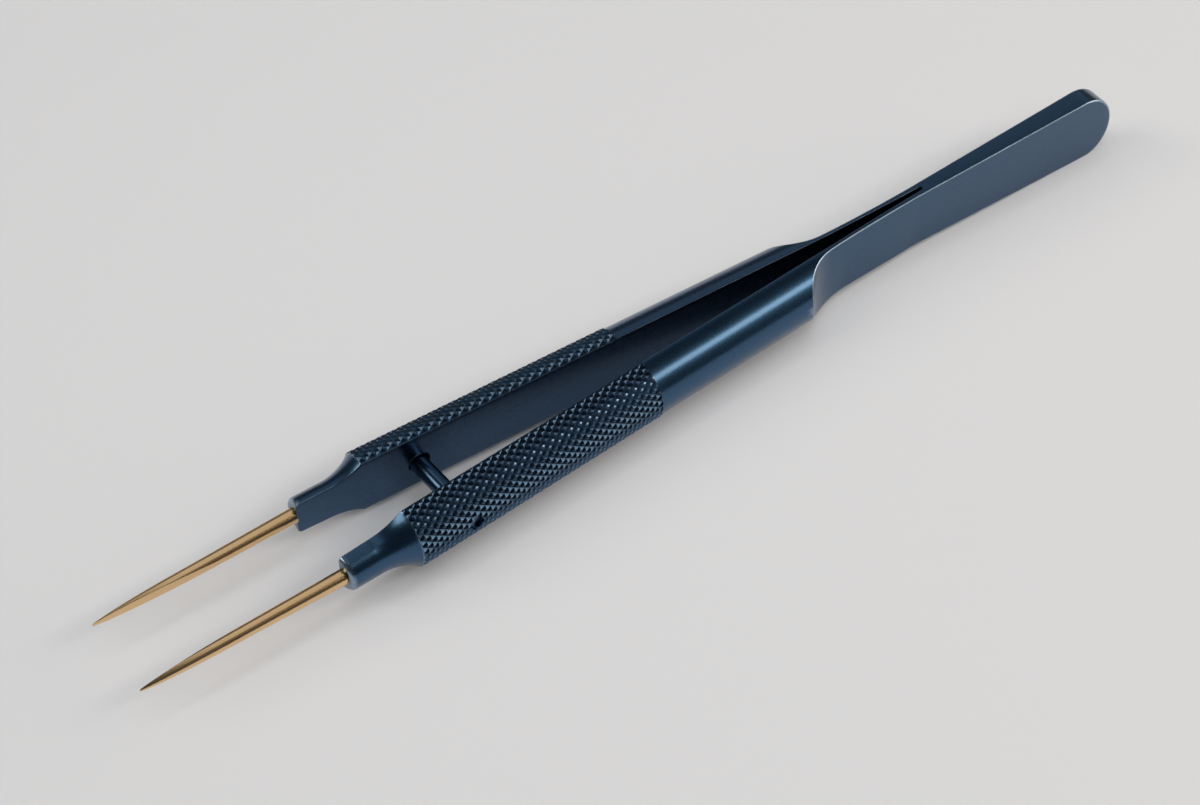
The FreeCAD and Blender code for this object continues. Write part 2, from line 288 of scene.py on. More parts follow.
class NodeTools:
    """Small helpers that wire shader nodes."""

    @staticmethod
    def fill(node: Node, values: dict[str, object]) -> None:
        """Set a node's inputs by name."""
        for label, value in values.items():
            node.inputs[label].default_value = value

    @staticmethod
    def group(name: str, inputs: tuple[str, ...],
              outputs: tuple[str, ...]) -> tuple[Tree, Node, Node]:
        """New group of number sockets, its inputs 1 unless set, with its input and output node."""
        tree = bpy.data.node_groups.new(name, "ShaderNodeTree")
        for label in inputs:
            socket = tree.interface.new_socket(name=label, in_out="INPUT", socket_type="NodeSocketFloat")
            socket.default_value = 1.0
        for label in outputs:
            tree.interface.new_socket(name=label, in_out="OUTPUT", socket_type="NodeSocketFloat")
        return tree, tree.nodes.new("NodeGroupInput"), tree.nodes.new("NodeGroupOutput")

    @staticmethod
    def use(tree: Tree, group: Tree, values: dict[str, float]) -> Node:
        """Group node in a tree, with its inputs set by name."""
        node = tree.nodes.new("ShaderNodeGroup")
        node.node_tree = group
        NodeTools.fill(node, values)
        return node

    @staticmethod
    def math(tree: Tree, operation: str, first: object, second: object) -> Socket:
        """Output of a math node over two sockets or numbers."""
        node = tree.nodes.new("ShaderNodeMath")
        node.operation = operation
        for socket, value in zip(node.inputs, (first, second)):
            if isinstance(value, (int, float)):
                socket.default_value = value
            else:
                tree.links.new(value, socket)
        return node.outputs[0]

    @staticmethod
    def noise(tree: Tree, scale: float, detail: float,
              stretch: Place = (1.0, 1.0, 1.0)) -> Socket:
        """Noise from 0 to 1 on Object coordinates, stretched by a Mapping node."""
        place = tree.nodes.new("ShaderNodeTexCoord")
        mapping = tree.nodes.new("ShaderNodeMapping")
        texture = tree.nodes.new("ShaderNodeTexNoise")
        NodeTools.fill(mapping, {"Scale": stretch})
        NodeTools.fill(texture, {"Scale": scale, "Detail": detail})
        tree.links.new(place.outputs["Object"], mapping.inputs["Vector"])
        tree.links.new(mapping.outputs["Vector"], texture.inputs["Vector"])
        return texture.outputs["Fac"]


@dataclass(frozen=True)
class MetalMarks:
    """Scales of the marks that both metals share, in cells a metre, and their two node groups."""

    grain_scale: float = 9000.0
    cloud_scale: float = 260.0
    line_scale: float = 6000.0
    line_stretch: float = 0.03
    # Noise that breaks up the pale edges and painted highlights.
    wear_and_sheen_patch_scale: float = 900.0

    def satin(self) -> Tree:
        """Fine blasted grain, soft clouding and faint draw lines along X.

        Returns:
            Group with inputs Grain, Clouding and Lines and outputs Tone,
            Roughness and Height, each a change around zero.
        """
        tree, given, out = NodeTools.group("satin_metal", ("Grain", "Clouding", "Lines"),
                                           ("Tone", "Roughness", "Height"))

        def mark(share: str, scale: float, detail: float, stretch: Place = (1.0, 1.0, 1.0)) -> Socket:
            """Noise around zero, scaled by one of the group's inputs."""
            around = NodeTools.math(tree, "SUBTRACT", NodeTools.noise(tree, scale, detail, stretch), 0.5)
            return NodeTools.math(tree, "MULTIPLY", around, given.outputs[share])

        grain = mark("Grain", self.grain_scale, 2.0)
        cloud = mark("Clouding", self.cloud_scale, 4.0)
        lines = mark("Lines", self.line_scale, 2.0, (self.line_stretch, 1.0, 1.0))
        both = NodeTools.math(tree, "ADD", cloud, NodeTools.math(tree, "MULTIPLY", grain, 0.5))
        tone = NodeTools.math(tree, "ADD", both, NodeTools.math(tree, "MULTIPLY", lines, 0.4))
        tree.links.new(tone, out.inputs["Tone"])
        tree.links.new(tone, out.inputs["Roughness"])
        tree.links.new(NodeTools.math(tree, "ADD", grain, lines), out.inputs["Height"])
        return tree

    def edges(self) -> Tree:
        """Masks of the pale marks on edges and crests, partly scuffing and partly painted highlight, broken
        up by noise, and of the painted shade in grooves and recesses.

        Returns:
            Group with an input Reach and outputs Mask, the pale edges and
            highlights, and Cut, the painted shade, read from the rub attribute's
            positive and negative part.
        """
        tree, given, out = NodeTools.group("wear_and_painted_light_masks", ("Reach",), ("Mask", "Cut"))
        wear_and_painted_light = tree.nodes.new("ShaderNodeAttribute")
        wear_and_painted_light.attribute_name = "wear_and_painted_light"
        pale_share = NodeTools.math(tree, "MAXIMUM", wear_and_painted_light.outputs["Fac"], 0.0)
        patches = NodeTools.math(tree, "ADD", NodeTools.noise(tree, self.wear_and_sheen_patch_scale, 3.0), 0.4)
        broken = NodeTools.math(tree, "MULTIPLY", pale_share, patches)
        tree.links.new(NodeTools.math(tree, "MULTIPLY", broken, given.outputs["Reach"]), out.inputs["Mask"])
        # Cut: the attribute's negative part, painted shade in the knurl's grooves and the pin hole's mouth.
        below = NodeTools.math(tree, "MULTIPLY", wear_and_painted_light.outputs["Fac"], -1.0)
        tree.links.new(NodeTools.math(tree, "MAXIMUM", below, 0.0), out.inputs["Cut"])
        return tree


@dataclass(frozen=True)
class MetalFinish:
    """A satin metal finish with its grain, clouding, lines, pale edges of scuffing and painted highlight, and
    painted shade in hollows.
    """

    name: str
    slot: str
    colour: Place
    wear_and_sheen_colour: Place
    roughness: float
    grain: float
    clouding: float
    lines: float
    edge_reach: float
    bump: float
    coat: float
    coat_roughness: float = 0.16
    # How much the painted shade in grooves and recesses lowers the colour.
    painted_shade_strength: float = 0.45
    bump_height: float = 0.00001

    def make(self, satin: Tree, edges: Tree) -> bpy.types.Material:
        """Node material of this finish.

        Args:
            satin: Shared group of grain, clouding and lines.
            edges: Shared group of pale edges, partly scuffing and partly painted highlight, and of painted
                shade in grooves and recesses.

        Returns:
            The new material.
        """
        material = bpy.data.materials.new(self.name)
        material.use_nodes = True
        tree = material.node_tree
        shader = tree.nodes["Principled BSDF"]
        NodeTools.fill(shader, {"Metallic": 1.0, "Coat Weight": self.coat,
                                "Coat Roughness": self.coat_roughness})
        shares = {"Grain": self.grain, "Clouding": self.clouding, "Lines": self.lines}
        marks = NodeTools.use(tree, satin, shares)
        wear_and_light_masks = NodeTools.use(tree, edges, {"Reach": self.edge_reach})
        tone = tree.nodes.new("ShaderNodeHueSaturation")
        tone.inputs["Color"].default_value = (*self.colour, 1.0)
        plain = NodeTools.math(tree, "ADD", marks.outputs["Tone"], 1.0)
        # Painted shade: the Cut mask lowers the colour in the knurl's grooves and the pin hole's mouth.
        painted_shade = NodeTools.math(tree, "MULTIPLY", wear_and_light_masks.outputs["Cut"], self.painted_shade_strength)
        tree.links.new(NodeTools.math(tree, "SUBTRACT", plain, painted_shade), tone.inputs["Value"])
        mix = tree.nodes.new("ShaderNodeMix")
        mix.data_type = "RGBA"
        # Pale colour mixed in by the mask: scuffing on edges, and painted highlight on edges, crests and
        # chamfers.
        mix.inputs["B"].default_value = (*self.wear_and_sheen_colour, 1.0)
        tree.links.new(wear_and_light_masks.outputs["Mask"], mix.inputs["Factor"])
        tree.links.new(tone.outputs["Color"], mix.inputs["A"])
        tree.links.new(mix.outputs["Result"], shader.inputs["Base Color"])
        change = NodeTools.math(tree, "MULTIPLY", marks.outputs["Roughness"], 0.4)
        tree.links.new(NodeTools.math(tree, "ADD", change, self.roughness), shader.inputs["Roughness"])
        bump = tree.nodes.new("ShaderNodeBump")
        NodeTools.fill(bump, {"Strength": self.bump, "Distance": self.bump_height})
        tree.links.new(marks.outputs["Height"], bump.inputs["Height"])
        tree.links.new(bump.outputs["Normal"], shader.inputs["Normal"])
        return material


# Each finish's second colour is the pale one for scuffed edges and painted highlights.
ANODISED = MetalFinish(
    name="blue_grey_anodised_titanium", slot="anodised_titanium", colour=(0.032, 0.087, 0.168),
    wear_and_sheen_colour=(0.28, 0.38, 0.50), roughness=0.28, grain=0.25, clouding=0.10, lines=0.08, edge_reach=0.75,
    bump=0.2, coat=0.35)
GOLDEN = MetalFinish(
    name="golden_ground_titanium", slot="golden_titanium", colour=(0.80, 0.54, 0.28),
    wear_and_sheen_colour=(0.88, 0.70, 0.47), roughness=0.22, grain=0.10, clouding=0.06, lines=0.12, edge_reach=0.6,
    bump=0.1, coat=0.2)
TURNED = MetalFinish(
    name="turned_pin_titanium", slot="pin_titanium", colour=(0.030, 0.075, 0.14),
    wear_and_sheen_colour=(0.16, 0.22, 0.28), roughness=0.22, grain=0.1, clouding=0.06, lines=0.0, edge_reach=0.5,
    bump=0.15, coat=0.35)


class SubAssembly:
    """Part of the forceps that dresses its own meshes in one finish."""

    finish: ClassVar[MetalFinish] = ANODISED

    def dress(self, piece: Piece, materials: dict[str, bpy.types.Material]) -> None:
        """Give a piece this part's material, and report it."""
        piece.data.materials.clear()
        piece.data.materials.append(materials[self.finish.name])
        log.info("%s: %d faces, %s", piece.name, len(piece.data.polygons), self.finish.name)


@dataclass(frozen=True)
class Layout:
    """Counts of points round every loop of an arm, so that all its parts join in one mesh.

    A loop holds the flat from its lower to its upper edge, a small bend, the
    back from the top down, and another small bend. The back of the leaf holds
    a side, a bend, the outer face, a bend and the other side.
    """

    flat: int = 12
    foot: int = 3
    side: int = 30
    bend: int = 4
    face: int = 45

    @property
    def back(self) -> int:
        """Points on the back."""
        return 2 * self.side + 2 * self.bend + self.face

    def close(self, back: Array, corner: Array, reach: Array) -> Array:
        """Complete loops from their backs: the flat between the two foot corners, and small bends.

        Args:
            back: Back points, shape stations, points, 2.
            corner: The upper foot corner of every station; the lower one mirrors it.
            reach: How far the bends reach along the flat.

        Returns:
            Array of shape stations, loop points, 2.
        """
        low = corner * np.array([1.0, -1.0])
        up_end = corner - np.array([0.0, 1.0]) * reach[:, None]
        low_end = low + np.array([0.0, 1.0]) * reach[:, None]
        flat = between(low_end[:, None], up_end[:, None], np.linspace(0.0, 1.0, self.flat)[None, :, None])
        bend_up = corner_curve(up_end, corner, back[:, 0], self.foot)
        bend_low = corner_curve(back[:, -1], low, low_end, self.foot)
        return np.concatenate([flat, bend_up, back, bend_low], axis=1)

    def parts(self) -> Array:
        """Part number of every loop point: 0 flat, 1 foot bend, 2 side, 3 face bend, 4 face."""
        counts = [(0, self.flat), (1, self.foot), (2, self.side), (3, self.bend), (4, self.face),
                  (3, self.bend), (2, self.side), (1, self.foot)]
        return np.concatenate([np.full(count, part) for part, count in counts])

    def wear_and_sheen_row(self, corners: bool) -> Array:
        """Pale marks round one loop, partly scuffing and partly painted highlight: the foot bends, and the
        outer face's bends where asked.
        """
        parts = self.parts()
        return np.where((parts == 1) | (corners & (parts == 3)), 1.0, 0.0)


LAYOUT = Layout()


@dataclass
class SpringBar:
    """Leaf spring, scooped shoulder and smooth half-round bar of one arm."""

    slot_half_gap: float = 0.2
    inner_runout: float = 14.0
    at_slot: float = 0.75
    upper_at_scoop: float = 0.385
    lower_at_scoop: float = 0.79
    upper_start: float = 12.15
    lower_start: float = 9.8
    upper_radius: float = 5.8
    lower_radius: float = 10.3
    reference: float = 4.12
    bar_radius: float = 3.33
    bar_end: float = 35.66
    upper_round: float = 4.4
    heel_at_slot: float = 0.77
    heel_gain: float = 0.4
    back: float = -1.0
    heel_seam_end: float = 0.3
    face_leaves_heel: float = 3.0
    section_turned: float = 6.0
    squared_until: float = -0.5
    rounded_from: float = 9.0
    tilt_runout: float = 9.0
    ramp: float = 0.02
    edge: float = 0.14
    inner_edge: float = 0.07
    bend_share: float = 0.2
    crest_spread: float = 0.1
    # Width of the painted highlight band round the scoop's crest.
    crest_sheen_width: float = 0.35
    edge_fade: tuple[float, float] = (0.25, 0.9)

    def half_width(self, x: Number) -> Array:
        """Half width in Z at a distance from the slot's end: straight taper, then constant."""
        run = self.upper_start + PLACING.heel_length - self.upper_round
        taper = (self.reference - self.bar_radius) / run
        return self.bar_radius + np.maximum(self.upper_start - np.asarray(x, float), 0.0) * taper

    def heel_half_thickness(self, x: Number) -> Array:
        """Half thickness in Y of the heel, a straight taper."""
        return self.heel_at_slot - np.asarray(x, float) * (self.heel_gain / PLACING.heel_length)

    def outer_at(self, u: Array, start: float, height: float, radius: float) -> Array:
        """Outer face of one edge: an arc down the leaf, then the scoop's arc up to the bar.

        Args:
            u: Distance along the arm.
            start: Where the scoop starts on this edge.
            height: Leaf height where the scoop starts.
            radius: The scoop's radius on this edge.

        Returns:
            Height over the flat plane.
        """
        rise = self.at_slot - height
        leaf_radius = (start ** 2 + rise ** 2) / (2 * abs(rise))
        ahead = np.clip(start - u, 0.0, start + 1.0)
        leaf = height + math.copysign(1.0, rise) * (leaf_radius - np.sqrt(leaf_radius ** 2 - ahead ** 2))
        past = np.clip(u - start, 0.0, radius * 0.98)
        return leaf + radius - np.sqrt(radius ** 2 - past ** 2)

    def outer_edges(self, u: Array) -> tuple[Array, Array]:
        """Outer face's height over the flat plane on the upper and the lower edge."""
        return (self.outer_at(u, self.upper_start, self.upper_at_scoop, self.upper_radius),
                self.outer_at(u, self.lower_start, self.lower_at_scoop, self.lower_radius))

    def inner_at(self, u: Array) -> Array:
        """Inner face over the flat plane: mid-plane in the heel, the slot's round end, then its long arc."""
        gap = self.slot_half_gap
        radius = (self.inner_runout ** 2 + gap ** 2) / (2 * gap)
        ahead = np.clip(self.inner_runout - u, 0.0, self.inner_runout)
        leaf = radius - np.sqrt(radius ** 2 - ahead ** 2)
        into = np.clip(u, 0.0, gap)
        round_end = np.sqrt(np.maximum(gap ** 2 - (gap - into) ** 2, 0.0))
        mid_plane = -u * math.tan(PLACING.splay)
        return np.where(u < gap, mid_plane + round_end, leaf)

    def crest_along(self) -> float:
        """Distance along the arm, past the inner run-out, where the scoop reaches the round bar's top."""
        u = np.linspace(self.inner_runout, self.inner_runout + 5.0, 5001)
        upper, lower = self.outer_edges(u)
        tilt = (lower - upper) / (2 * self.reference)
        over = (upper + lower) / 2 / np.sqrt(1 + tilt ** 2) > self.bar_radius
        return float(u[np.argmax(over)])

    def stations(self, crest: float) -> Array:
        """Distances along the arm of its sections, close together at the slot's end and at the crest."""
        slot_run, scoop_from, crest_run, bar_from = 0.25, 9.0, 1.2, 1.4
        return np.concatenate([
            np.linspace(self.back, 0.0, 7)[:-1],
            np.linspace(0.0, math.sqrt(slot_run), 9)[:-1] ** 2,
            np.linspace(slot_run, scoop_from, 40)[:-1],
            crest - (crest - scoop_from) * np.linspace(1.0, 0.04, 80) ** 2,
            crest + np.linspace(0.02, 1.0, 12) ** 1.5 * crest_run,
            np.linspace(crest + bar_from, self.bar_end - self.ramp, 60),
        ])

    def loops(self) -> tuple[Array, Array]:
        """Sections of the arm from the heel's seam to the knurl.

        Each loop runs up the flat inner face, round the upper side, down the
        outer face and round the lower side, with a parabola at each corner. The
        outer face of a section is the straight line out = mean - tilt * across,
        and its sides are straight at the heel and become the round bar's circle.

        Returns:
            Loops of shape stations, points, 3 in slot millimetres, and their
            pale marks: edges of scuffing and painted highlight, and a painted
            highlight band round the crest.
        """
        crest = self.crest_along()
        u = self.stations(crest)
        upper, lower = self.outer_edges(u)
        heel_line = self.heel_half_thickness(u) - u * math.tan(PLACING.splay)
        share = smooth_step(u, self.back, self.face_leaves_heel)
        mean = (upper + lower) / 2 * share + heel_line * (1 - share)
        tilt = (lower - upper) / (2 * self.reference) * share
        is_round = u > crest
        crest_tilt = tilt[~is_round][-1] * (1 - smooth_step(u, crest, crest + self.tilt_runout))
        radius = self.half_width(u)
        top, bottom = self.corners(mean, np.where(is_round, crest_tilt, tilt), radius, is_round)
        roundness = smooth_step(u, self.squared_until, self.rounded_from)
        evenness = smooth_step(u, crest, self.bar_end - 0.5)
        is_heel = u < self.heel_seam_end
        shape = self.section(self.inner_at(u), top, bottom, radius, roundness, is_heel, evenness)
        turn = PLACING.splay * smooth_step(u, self.back, self.section_turned)
        parts = LAYOUT.parts()
        row = LAYOUT.wear_and_sheen_row(corners=True)
        fade = 1 - smooth_step(u, crest - self.edge_fade[0], crest + self.edge_fade[1])
        wear_and_painted_light = np.where(parts == 3, row * fade[:, None], row)
        # Painted highlight: a pale band over the outer face round the scoop's crest.
        band = np.exp(-((u - crest) / self.crest_sheen_width) ** 2)[:, None] * (parts >= 3)
        loops = PLACING.arm_to_slot(u[:, None], shape[..., 0], shape[..., 1], turn[:, None])
        return loops, np.maximum(wear_and_painted_light, band)

    def corners(self, mean: Array, tilt: Array, radius: Array, is_round: Array) -> tuple[Array, Array]:
        """Angles on the round bar where the outer face's straight line meets it.

        The line out = mean - tilt * across meets the circle of the given radius
        at two angles from the normal; past the crest a narrow band stands in.

        Args:
            mean: Height of the outer face at mid width.
            tilt: Fall of the outer face per unit across.
            radius: The circle's radius.
            is_round: Stations that have no straight outer face.

        Returns:
            Upper and lower angle, positive upwards.
        """
        lean = np.arctan(tilt)
        share = np.clip(mean * np.cos(lean) / radius, -1.0, 1.0)
        spread = np.where(is_round, self.crest_spread, np.arccos(share))
        return lean + spread, lean - spread

    def section(self, inner: Array, top: Array, bottom: Array, radius: Array, roundness: Array,
                is_heel: Array, evenness: Array) -> Array:
        """Closed section loops as out and across for every station.

        Args:
            inner: Height of the inner face.
            top: Angle of the upper corner.
            bottom: Angle of the lower corner.
            radius: Circle or half width.
            roundness: 0 for straight sides, 1 for the full circle.
            is_heel: Stations that join the other half at the mid-plane.
            evenness: 1 spreads the back's points evenly over the circle.

        Returns:
            Array of shape stations, loop points, 2.
        """
        def on_side(angle: Array) -> Array:
            """Point on the side at an angle: the circle, squared up where the sides are straight."""
            circle = radius[:, None] * np.sin(angle)
            straight = np.sign(circle) * radius[:, None]
            mix = roundness[:, None]
            return np.stack([radius[:, None] * np.cos(angle), circle * mix + straight * (1 - mix)], axis=-1)

        def spread(start: Array, end: Array, count: int) -> Array:
            """Points on the side at even steps between two angles of every station."""
            return on_side(between(start[:, None], end[:, None], np.linspace(0.0, 1.0, count)))

        foot = np.arccos(np.clip(inner / radius, -1.0, 1.0))
        step = np.minimum(self.edge / radius, (top - bottom) * self.bend_share)
        foot_step = np.where(is_heel, 0.0005, self.inner_edge / radius)
        side_up = spread(foot - foot_step, top + step, LAYOUT.side)
        side_down = spread(bottom - step, -foot + foot_step, LAYOUT.side)
        corner_up, corner_down = on_side(top[:, None])[:, 0], on_side(bottom[:, None])[:, 0]
        length = np.linalg.norm(corner_down - corner_up, axis=-1)
        line = (corner_down - corner_up) / length[:, None]
        line_step = np.minimum(self.edge, self.bend_share * length)[:, None]
        face_top, face_low = corner_up + line * line_step, corner_down - line * line_step
        steps = np.linspace(0.0, 1.0, LAYOUT.face)[None, :, None]
        flat_face = between(face_top[:, None], face_low[:, None], steps)
        round_face = spread(top - step, bottom + step, LAYOUT.face)
        has_face = (top - bottom) > 2.1 * self.crest_spread
        face = np.where(has_face[:, None, None], flat_face, round_face)
        bend_up = corner_curve(side_up[:, -1], corner_up, face[:, 0], LAYOUT.bend)
        bend_down = corner_curve(face[:, -1], corner_down, side_down[:, 0], LAYOUT.bend)
        back = np.concatenate([side_up, bend_up, face, bend_down, side_down], axis=1)
        even = spread(foot - foot_step, -foot + foot_step, LAYOUT.back)
        angle = np.arctan2(back[..., 1], back[..., 0]) * (1 - evenness[:, None])
        angle += np.arctan2(even[..., 1], even[..., 0]) * evenness[:, None]
        back = np.where((evenness > 0)[:, None, None], on_side(angle), back)
        reach = np.where(is_heel, 0.002, self.inner_edge)
        return LAYOUT.close(back, on_side(foot[:, None])[:, 0], reach)


@dataclass
class Grip:
    """Diamond-knurled grip and tapered nose of one arm, with the hole for the guide pin."""

    bar: SpringBar
    end: float = 63.0
    crest: float = 3.44
    depth: float = 0.18
    diamond_length: float = 1.08
    fineness: int = 4
    flat_top: float = 0.75
    # Painted shade down in the grooves (negative) and painted highlight on the crest tops (positive), by the
    # share left standing.
    knurl_sheen_and_shade: tuple[float, ...] = (-0.9, -0.8, -0.4, 0.5)
    flat_edge: float = 0.05
    shoulder_radius: float = 3.32
    arc_radius: float = 6.1
    neck_at: float = 66.8
    neck_radius: float = 2.1
    nose_end: float = 69.75
    nose_radius: float = 2.02
    bevel: float = 0.25
    pin_at: float = 57.0
    pin_drop: float = 0.4
    spigot_radius: float = 0.775
    clearance: float = 0.02
    end_clearance: float = 0.03
    recess: float = 0.5
    mouth: tuple[float, float] = (0.68, 0.86)
    mouth_rise: float = 0.5
    mouth_ahead: float = 0.15
    hole_radius: float = 1.12
    hole_shift: float = 0.15
    hole_chamfer: float = 0.05
    past_back: float = 6.0

    def knurl_loops(self) -> tuple[Array, Array, Array]:
        """Loops of the knurled length, their painted shade and highlight, and the split of each quad.

        Two families of grooves cross at mirrored slants. With a and b the
        counts of grooves passed in each family, the share left standing is
        min(tri(a), tri(b)) over the flat top's share, at most 1, where tri is 0
        on a groove and 1 half way between two. It falls to 0 over the half step
        next to the flat, so the flat's edges are straight. Quads are split
        along the groove that crosses them. The layout's points on the back set
        how many diamonds go round.

        Returns:
            Loops, painted shade and highlight, and diagonals of shape stations - 1, points.
        """
        start = self.bar.bar_end
        rows = round(2 * (self.end - start) / self.diamond_length) * self.fineness
        columns = LAYOUT.back - 1
        i = np.arange(rows + 1)[:, None]
        j = np.arange(columns + 1)[None, :]
        step = 2.0 * self.fineness
        stand = np.minimum(self.triangle((i + j) / step), self.triangle((i - j) / step))
        from_flat = np.minimum(j, columns - j) / self.fineness
        stand = np.minimum(np.minimum(stand / self.flat_top, 1.0), from_flat)
        radius = self.crest - self.depth * (1 - stand)
        valley = self.crest - self.depth
        foot = math.pi / 2 - self.flat_edge / valley
        back = radius[..., None] * on_circle(foot * (1 - 2 * j / columns))
        corner = np.tile(np.array([0.0, valley]), (rows + 1, 1))
        shape = LAYOUT.close(back, corner, np.full(rows + 1, self.flat_edge))
        u = start + (self.end - start) * i / rows
        loops = PLACING.arm_to_slot(u, shape[..., 0], shape[..., 1])
        wear_and_painted_light = np.tile(LAYOUT.wear_and_sheen_row(corners=False), (rows + 1, 1))
        first = LAYOUT.flat + LAYOUT.foot
        # Painted shade in the grooves, painted highlight on the crest tops.
        wear_and_painted_light[:, first:first + columns + 1] = np.interp(stand, [0.0, 0.5, 0.8, 1.0], self.knurl_sheen_and_shade)
        diagonal = np.full((rows, loops.shape[1]), -1)
        parity = (i[:-1] // self.fineness + j[:, :-1] // self.fineness) % 2
        diagonal[:, first:first + columns] = 1 - parity
        return loops, wear_and_painted_light, diagonal

    @staticmethod
    def triangle(count: Array) -> Array:
        """Distance to the nearest whole count as a share of half a step: 0 on a groove, 1 between two."""
        return 1.0 - np.abs(2.0 * (count - np.floor(count)) - 1.0)

    def nose_profile(self) -> tuple[Array, Array, Array]:
        """Radius along the nose: shoulder, hollow arc, slim neck and bevel.

        Returns:
            Distances along the arm, radii, and pale marks: painted highlight on the bevel's rings and on the
            shoulder's first ring.
        """
        chord = np.array([self.neck_at - self.end, self.neck_radius - self.shoulder_radius])
        length = float(np.hypot(*chord))
        sag = self.arc_radius - math.sqrt(self.arc_radius ** 2 - (length / 2) ** 2)
        inward = np.array([chord[1], -chord[0]]) / length
        start = np.array([self.end, self.shoulder_radius])
        centre = start + chord / 2 + inward * (sag - self.arc_radius)
        a0 = math.atan2(start[1] - centre[1], start[0] - centre[0])
        a1 = math.atan2(start[1] + chord[1] - centre[1], start[0] + chord[0] - centre[0])
        arc = centre + self.arc_radius * on_circle(np.linspace(a0, a1, 30))
        back, front = self.nose_end - self.bevel, self.nose_radius - self.bevel
        neck_run = np.array([back - 0.03, self.nose_radius]) - arc[-1]
        neck = arc[-1] + np.linspace(0.1, 1.0, 9)[:, None] * neck_run
        bevel = np.array([[back + 0.02, self.nose_radius - 0.02], [self.nose_end - 0.02, front + 0.02],
                          [self.nose_end, front - 0.03]])
        profile = np.concatenate([arc, neck, bevel])
        profile[0, 0] += self.bar.ramp
        # Painted highlight: pale rings on the bevel and on the shoulder's first ring.
        wear_and_painted_light = np.concatenate([np.zeros(len(arc) + len(neck) - 1), [0.8, 1.2, 1.2, 0.8]])
        wear_and_painted_light[0] = 0.8
        return profile[:, 0], profile[:, 1], wear_and_painted_light

    def nose_loops(self) -> tuple[Array, Array]:
        """Half-round loops along the nose, with a small bend at both flat corners, and their pale marks:
        scuffing and painted highlight at the corners, painted highlight on the bevel.
        """
        u, radius, ring = self.nose_profile()
        inner_edge = self.bar.inner_edge
        foot = (math.pi / 2 - inner_edge / radius)[:, None]
        angle = foot * (1 - 2 * np.linspace(0.0, 1.0, LAYOUT.back)[None, :])
        back = radius[:, None, None] * on_circle(angle)
        corner = np.stack([np.zeros_like(radius), radius], axis=-1)
        shape = LAYOUT.close(back, corner, np.full(len(u), inner_edge))
        wear_and_painted_light = np.maximum(LAYOUT.wear_and_sheen_row(corners=False), ring[:, None] * (LAYOUT.parts() > 0))
        return PLACING.arm_to_slot(u[:, None], shape[..., 0], shape[..., 1]), wear_and_painted_light

    def pin_hole(self, side: Side) -> Piece:
        """Cutter for the guide pin's hole, four rings from the gap outwards.

        In the near arm it is a straight bore for the spigot that opens in an
        oval mouth, with painted shade on its walls, just above the spigot's end. In the far arm it is a
        through hole with a small chamfer at the flat, painted pale as a highlight.

        Args:
            side: Arm that is cut.

        Returns:
            Closed solid.
        """
        if side is Side.NEAR:
            bore, step = self.spigot_radius + self.clearance, self.spigot_height() + self.end_clearance
            out = np.array([-1.0, step, step + 0.02, self.past_back])
            radius = np.array([bore, bore, self.mouth[0], self.mouth[0]])
            height = np.array([bore, bore, self.mouth[1], self.mouth[1]])
            in_mouth = np.array([0.0, 0.0, 1.0, 1.0])[:, None]
            at, rise = self.pin_at + self.mouth_ahead * in_mouth, self.mouth_rise * in_mouth
            # Painted shade on the mouth's walls.
            wear_and_painted_light = np.array([0.0, -1.0, -1.0, -1.0])
        else:
            chamfer = self.hole_chamfer
            out = np.array([-2 * chamfer, chamfer, chamfer + 0.02, self.past_back])
            radius = self.hole_radius + np.array([3 * chamfer, 0.0, 0.0, 0.0])
            height, at, rise = radius, self.pin_at + self.hole_shift, 0.0
            # Painted highlight on the chamfer.
            wear_and_painted_light = np.array([1.0, 1.0, 0.0, 0.0])
        rings = PLACING.rings(at, rise - self.pin_drop, out, radius, height)
        return loft("pin_hole_cutter", rings, side, wear_and_painted_light[:, None] * np.ones(rings.shape[1]))

    def spigot_height(self) -> float:
        """Height over the flat plane of the spigot's end, which lies below the knurl."""
        return math.sqrt(self.crest ** 2 - self.pin_drop ** 2) - self.recess


